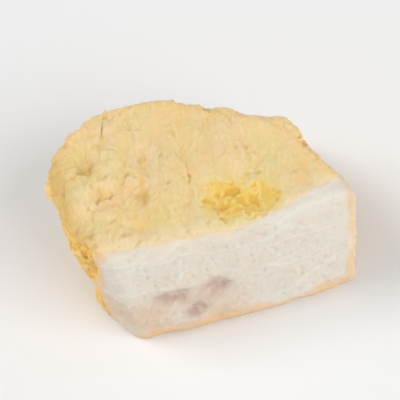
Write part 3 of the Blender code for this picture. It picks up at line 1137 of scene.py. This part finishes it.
def orange_material(colours):
    """One dry, matte finish over pith, membrane and open flesh."""
    graph = Graph("dried_orange")
    flesh = graph.mix("skin", open_flesh_colour(graph, colours), membrane_colour(graph, colours))
    flesh = graph.mix(graph.span("edge", 0.45, 1.0, most=0.4), flesh, colours.foam)
    colour = graph.mix("pith", flesh, pith_colour(graph, colours))
    fibres = graph.maths("MULTIPLY", graph.grain(0.22, detail=3.0, stretch=(1.0, 0.25, 1.0)), "skin")
    bump = graph.node("ShaderNodeBump")
    graph.feed(bump.inputs["Height"], graph.maths("ADD", graph.grain(0.11, detail=5.0), fibres))
    bump.inputs["Strength"].default_value = BUMP_STRENGTH
    bump.inputs["Distance"].default_value = BUMP_DEPTH * METRE
    least, most = ROUGHNESS
    sockets = graph.shader.inputs
    graph.feed(sockets["Base Color"], colour)
    graph.feed(sockets["Normal"], bump.outputs["Normal"])
    graph.feed(sockets["Roughness"], graph.span(graph.grain(0.5), 0.3, 0.7, least, most))
    sockets["Specular IOR Level"].default_value = SHINE
    sockets["Subsurface Weight"].default_value = SPREAD_SHARE
    sockets["Subsurface Radius"].default_value = SPREAD_COLOURS
    sockets["Subsurface Scale"].default_value = SPREAD_DEPTH * METRE
    return graph.material


def floor_material(colour):
    """A pale matte floor with a very faint cloudiness."""
    graph = Graph("studio_floor")
    shade = graph.span(graph.grain(60.0), 0.3, 0.7, least=0.97)
    graph.feed(graph.shader.inputs["Base Color"], graph.mix(1.0, colour, shade, "MULTIPLY"))
    graph.shader.inputs["Roughness"].default_value = FLOOR_ROUGHNESS
    graph.shader.inputs["Specular IOR Level"].default_value = FLOOR_SHINE
    return graph.material


class ORANGE_OT_piece(bpy.types.Operator):
    """Build the piece of freeze-dried orange in place of the frame's solid"""

    bl_idname = "orange.piece"
    bl_label = "Build the Orange Piece"
    bl_options = {"REGISTER", "UNDO"}

    def execute(self, context):
        sizes = millimetres(context.scene.orange_shape)
        piece = rounded_block("dried_orange_piece", sizes["net"])
        noise.seed_set(BEND_SEED)
        facts = carve(piece, Flesh(sizes))
        perforate(piece, sizes, facts)
        settle(piece, NODE)
        note_facts(piece, facts)
        piece.data.transform(Matrix.Scale(METRE, 4))
        piece.data.materials.clear()
        piece.data.materials.append(orange_material(context.scene.orange_colours))
        piece.data.shade_smooth()
        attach(piece, BODY)
        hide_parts(NODE)
        return {"FINISHED"}


class ORANGE_OT_studio(bpy.types.Operator):
    """Set up the floor, the lights and the camera"""

    bl_idname = "orange.studio"
    bl_label = "Set Up the Studio"
    bl_options = {"REGISTER", "UNDO"}

    def execute(self, context):
        studio = context.scene.orange_studio
        floor = cove("studio_floor")
        floor.data.materials.append(floor_material(studio.floor))
        soft_light("key_light", studio.key_power, KEY_AT, KEY_WIDTH)
        soft_light("fill_light", studio.fill_power, FILL_AT, FILL_WIDTH)
        even_sky(context.scene, studio.sky)
        context.scene.camera = place_camera(studio)
        context.scene.view_settings.view_transform = "Standard"
        return {"FINISHED"}


def cove(name):
    """A round floor that curves up into a low slope, so that no edge shows behind the piece."""
    profile = [(FLOOR_FLAT, 0.0)]
    for step in range(1, FLOOR_CURVE_STEPS + 1):
        turn = FLOOR_SLOPE * step / FLOOR_CURVE_STEPS
        profile.append((FLOOR_FLAT + FLOOR_CURVE * math.sin(turn), FLOOR_CURVE * (1.0 - math.cos(turn))))
    radius, rise = profile[-1]
    profile.append((radius + (FLOOR_HEIGHT - rise) / math.tan(FLOOR_SLOPE), FLOOR_HEIGHT))
    bm = bmesh.new()
    points = [bm.verts.new((radius, 0.0, height)) for radius, height in profile]
    middle = bm.verts.new((0.0, 0.0, 0.0))
    edges = [bm.edges.new(pair) for pair in zip([middle] + points, points)]
    bmesh.ops.spin(
        bm, geom=edges, cent=(0.0, 0.0, 0.0), axis=(0.0, 0.0, 1.0), angle=2.0 * math.pi,
        steps=FLOOR_ROUND_STEPS, use_merge=True,
    )
    bmesh.ops.remove_doubles(bm, verts=bm.verts[:], dist=FLOOR_WELD)
    bmesh.ops.recalc_face_normals(bm, faces=bm.faces[:])
    mesh = bpy.data.meshes.new(name)
    bm.to_mesh(mesh)
    bm.free()
    mesh.shade_smooth()
    floor = bpy.data.objects.new(name, mesh)
    bpy.context.scene.collection.objects.link(floor)
    return floor


def soft_light(name, power, place, size):
    """A square soft light that faces the piece."""
    light = bpy.data.lights.new(name, "AREA")
    light.energy = power
    light.size = size
    lamp = bpy.data.objects.new(name, light)
    lamp.location = place
    lamp.rotation_euler = (-Vector(place)).to_track_quat("-Z", "Y").to_euler()
    bpy.context.scene.collection.objects.link(lamp)


def even_sky(scene, strength):
    scene.world = scene.world or bpy.data.worlds.new("studio_sky")
    scene.world.use_nodes = True
    background = scene.world.node_tree.nodes["Background"]
    background.inputs["Color"].default_value = (1.0, 1.0, 1.0, 1.0)
    background.inputs["Strength"].default_value = strength


def place_camera(studio):
    """A camera that looks down on the piece as the photograph does, turned by the roll."""
    low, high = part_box(NODE)
    middle = (low + high) / 2.0
    camera = bpy.data.cameras.new("camera")
    camera.lens = studio.lens
    half_view = math.atan(camera.sensor_width / 2.0 / camera.lens)
    away = (high.x - low.x) / 2.0 / studio.filling / math.tan(half_view)
    back = Vector((0.0, -math.cos(studio.elevation), math.sin(studio.elevation)))
    camera.clip_start = CLIP_NEAR * away
    camera.clip_end = CLIP_FAR * away
    holder = bpy.data.objects.new("camera", camera)
    holder.location = middle + back * away
    turn = Matrix.Rotation(-studio.roll, 4, "Z")
    holder.rotation_euler = ((-back).to_track_quat("-Z", "Y").to_matrix().to_4x4() @ turn).to_euler()
    bpy.context.scene.collection.objects.link(holder)
    return holder


class ORANGE_PT_panel(bpy.types.Panel):
    """Sidebar panel that lists the sizes, the colours and the steps"""

    bl_idname = "ORANGE_PT_panel"
    bl_label = "Dried Orange"
    bl_space_type = "VIEW_3D"
    bl_region_type = "UI"
    bl_category = "Dried Orange"

    def draw(self, context):
        for step, group in (
            ("orange.piece", "orange_shape"),
            (None, "orange_colours"),
            ("orange.studio", "orange_studio"),
        ):
            box = self.layout.box()
            settings = getattr(context.scene, group)
            for name in settings.__annotations__:
                box.prop(settings, name)
            if step:
                box.operator(step)


CLASSES = (OrangeShape, OrangeColours, OrangeStudio, ORANGE_OT_piece, ORANGE_OT_studio, ORANGE_PT_panel)


def register():
    for kind in CLASSES:
        bpy.utils.register_class(kind)
    bpy.types.Scene.orange_shape = PointerProperty(type=OrangeShape)
    bpy.types.Scene.orange_colours = PointerProperty(type=OrangeColours)
    bpy.types.Scene.orange_studio = PointerProperty(type=OrangeStudio)


def unregister():
    del bpy.types.Scene.orange_shape
    del bpy.types.Scene.orange_colours
    del bpy.types.Scene.orange_studio
    for kind in reversed(CLASSES):
        bpy.utils.unregister_class(kind)


def main():
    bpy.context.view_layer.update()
    register()
    bpy.ops.orange.piece()
    bpy.ops.orange.studio()


if __name__ == "__main__":
    main()
